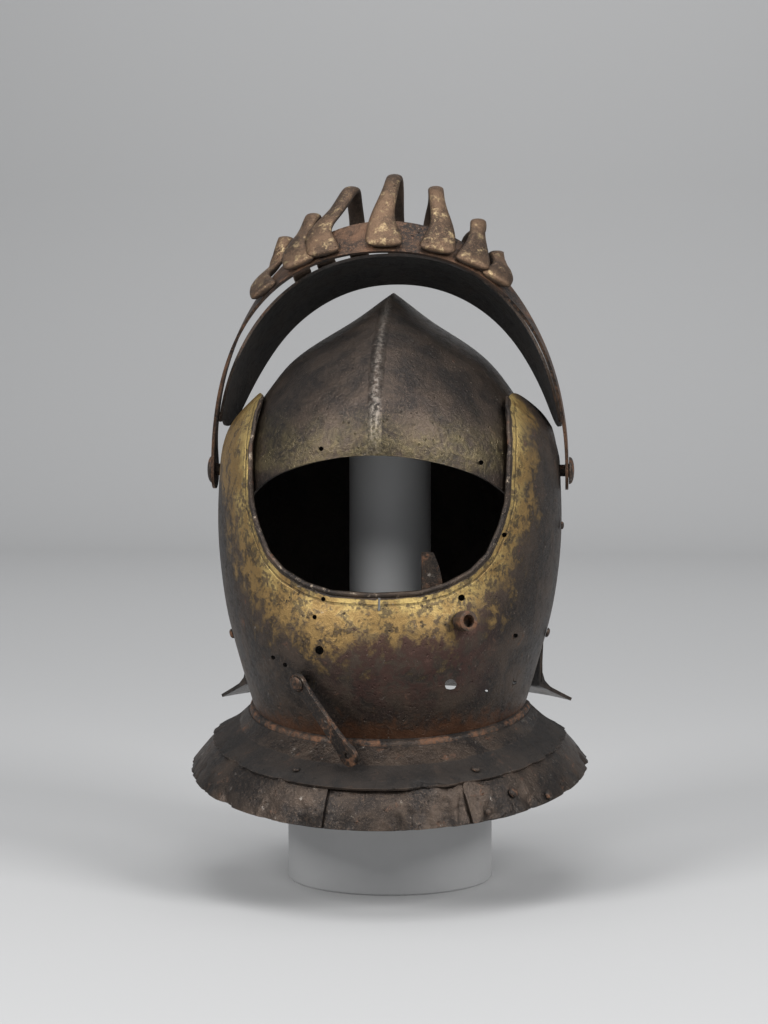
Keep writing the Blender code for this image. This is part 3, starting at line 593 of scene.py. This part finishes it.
class HELMET_OT_bevor(bpy.types.Operator):
    """Dress the bevor, and give its face opening a rolled rim."""

    bl_idname = "helmet.bevor"
    bl_label = "Bevor"

    def execute(self, context):
        gilt = tone("gold"), tone("pale_gold")
        look = iron("gilt iron", rusty=0.4, worn=0.3, gilt=gilt, red=tone("underlayer"), neck=0.125)
        piece = dress("bevor", look)
        line = rim_points()
        mark(piece, "rim_distance", lambda v: min((v.co - p).length for p in line))
        rim = iron("rim iron", rusty=0.5, worn=0.75, bright=tone("rim_bright"))
        rolled_rim(sizes().rim_radius, "bevor", rim)
        return {"FINISHED"}


class HELMET_OT_gorget(bpy.types.Operator):
    """Dress the gorget's plates and the ring above them."""

    bl_idname = "helmet.gorget"
    bl_label = "Gorget"

    def execute(self, context):
        plates = iron("gorget iron", rusty=0.45, worn=0.45, gloss=0.06)
        for node in ("gorget_upper_plate", "gorget_lower_left", "gorget_lower_centre", "gorget_lower_right"):
            piece = dress(node, plates, levels=3)
            ragged_edge(piece, sizes().edge_bite)
        dress("neck_ring", iron("neck iron", rusty=1.0, worn=0.2, rust=tone("orange")), grow=1.4 * MM)
        return {"FINISHED"}


class HELMET_OT_visor(bpy.types.Operator):
    """Dress the visor's bands and bars."""

    bl_idname = "helmet.visor"
    bl_label = "Visor"

    def execute(self, context):
        dress("visor_bar_band", iron("visor iron", brown=tone("red_brown"), rusty=0.6, worn=0.35))
        dress("visor_brow_band", iron("brow iron", rusty=0.35, worn=0.3))
        browns = {"dark": tone("bar_dark"), "brown": tone("bar_brown"), "bright": tone("bar_gold")}
        bars = iron("bar iron", rusty=0.35, worn=0.95, **browns)
        for number in range(1, 8):
            dress(f"visor_bar_{number}", bars, crease=0.0, smooth=80, grow=1.2 * MM, foot=0.85)
        return {"FINISHED"}


class HELMET_OT_fittings(bpy.types.Operator):
    """Dress the rivets, the catch and the stay."""

    bl_idname = "helmet.fittings"
    bl_label = "Rivets, catch and stay"

    def execute(self, context):
        rusted = iron("rusted iron", rusty=0.9, worn=0.5, rust=tone("orange"))
        small = [node for node in BODIES if "rivet" in node or node.startswith(("stay", "catch"))]
        for node in small:
            dress(node, rusted, crease=0.6)
        return {"FINISHED"}


class HELMET_OT_stand(bpy.types.Operator):
    """Dress the display stand."""

    bl_idname = "helmet.stand"
    bl_label = "Stand"

    def execute(self, context):
        dress("stand", painted("stand paint", tone("paint")), crease_from=25)
        return {"FINISHED"}


class HELMET_OT_studio(bpy.types.Operator):
    """Set up the backdrop, the lights and the camera."""

    bl_idname = "helmet.studio"
    bl_label = "Studio"

    def execute(self, context):
        backdrop()
        for settings in LAMPS:
            lamp(*settings)
        world = bpy.data.worlds.new("studio")
        world.use_nodes = True
        light = world.node_tree.nodes["Background"].inputs
        light["Color"].default_value = WORLD_COLOUR
        light["Strength"].default_value = WORLD_STRENGTH
        context.scene.world = world
        context.scene.view_settings.view_transform = "Standard"
        camera()
        return {"FINISHED"}


def backdrop():
    """A floor that sweeps up into a wall, as one sheet."""
    bpy.ops.mesh.primitive_plane_add(size=1, location=(0, 0, 0))
    sweep = bpy.context.object
    sweep.name = "backdrop"
    sweep.scale = FLOOR_SCALE
    sweep.location = FLOOR_PLACE
    bpy.ops.object.transform_apply(location=True, rotation=False, scale=True)
    bpy.ops.object.mode_set(mode="EDIT")
    bpy.ops.mesh.select_all(action="DESELECT")
    bpy.ops.object.mode_set(mode="OBJECT")
    for edge in sweep.data.edges:
        edge.select = all(sweep.data.vertices[i].co.y > 1 for i in edge.vertices)
    bpy.ops.object.mode_set(mode="EDIT")
    bpy.ops.mesh.select_mode(type="EDGE")
    for i in range(SWEEP_STEPS):
        turn = math.radians(90 * (i + 0.5) / SWEEP_STEPS)
        step = (0, SWEEP_STEP * math.cos(turn), SWEEP_STEP * math.sin(turn))
        bpy.ops.mesh.extrude_region_move(TRANSFORM_OT_translate={"value": step})
    bpy.ops.mesh.extrude_region_move(TRANSFORM_OT_translate={"value": (0, 0, WALL_HEIGHT)})
    bpy.ops.mesh.select_all(action="SELECT")
    bpy.ops.mesh.normals_make_consistent(inside=False)
    bpy.ops.object.mode_set(mode="OBJECT")
    bpy.ops.object.shade_smooth()
    look = Look("backdrop paper")
    sweep.data.materials.append(look.finish((*tone("backdrop"), 1), PAPER_ROUGHNESS, 0.0))


def lamp(name, place, aim, size, power):
    """A soft square lamp that looks at a point."""
    bpy.ops.object.light_add(type="AREA", location=place)
    light = bpy.context.object
    light.name = name
    light.data.size = size
    light.data.energy = power
    light.rotation_euler = (Vector(aim) - Vector(place)).to_track_quat("-Z", "Y").to_euler()


def camera():
    """The camera at the photograph's angle and distance."""
    made = sizes()
    side = made.camera_side
    place = Vector((math.sin(side), -math.cos(side), 0)) * made.camera_distance
    place.z = made.camera_height
    right = Vector((math.cos(side), math.sin(side), 0))
    drop = made.camera_distance * VIEW_DROP / FOCAL_LENGTH
    aim = Vector((0, 0, made.camera_height - drop)) - right * VIEW_SHIFT
    bpy.ops.object.camera_add(location=place)
    eye = bpy.context.object
    eye.rotation_euler = (aim - place).to_track_quat("-Z", "Y").to_euler()
    eye.data.lens = SENSOR * FOCAL_LENGTH / PHOTO_HEIGHT
    eye.data.clip_start = 0.01
    bpy.context.scene.camera = eye


PIECES = (
    HELMET_OT_skull, HELMET_OT_bevor, HELMET_OT_gorget, HELMET_OT_visor, HELMET_OT_fittings, HELMET_OT_stand,
    HELMET_OT_studio,
)


class HELMET_PT_panel(bpy.types.Panel):
    """Lists the helmet's pieces."""

    bl_idname = "HELMET_PT_panel"
    bl_label = "Tournament helmet"
    bl_space_type = "VIEW_3D"
    bl_region_type = "UI"
    bl_category = "Helmet"

    def draw(self, context):
        for group in (context.scene.helmet_sizes, context.scene.helmet_colours):
            for key in group.__annotations__:
                self.layout.prop(group, key)
        for piece in PIECES:
            self.layout.operator(piece.bl_idname)


CLASSES = (HelmetColours, HelmetSizes, *PIECES, HELMET_PT_panel)


def register():
    for made in CLASSES:
        bpy.utils.register_class(made)
    bpy.types.Scene.helmet_colours = bpy.props.PointerProperty(type=HelmetColours)
    bpy.types.Scene.helmet_sizes = bpy.props.PointerProperty(type=HelmetSizes)


def unregister():
    del bpy.types.Scene.helmet_sizes
    del bpy.types.Scene.helmet_colours
    for made in reversed(CLASSES):
        bpy.utils.unregister_class(made)


def main():
    register()
    for piece in PIECES:
        group, name = piece.bl_idname.split(".")
        getattr(getattr(bpy.ops, group), name)()


if __name__ == "__main__":
    main()
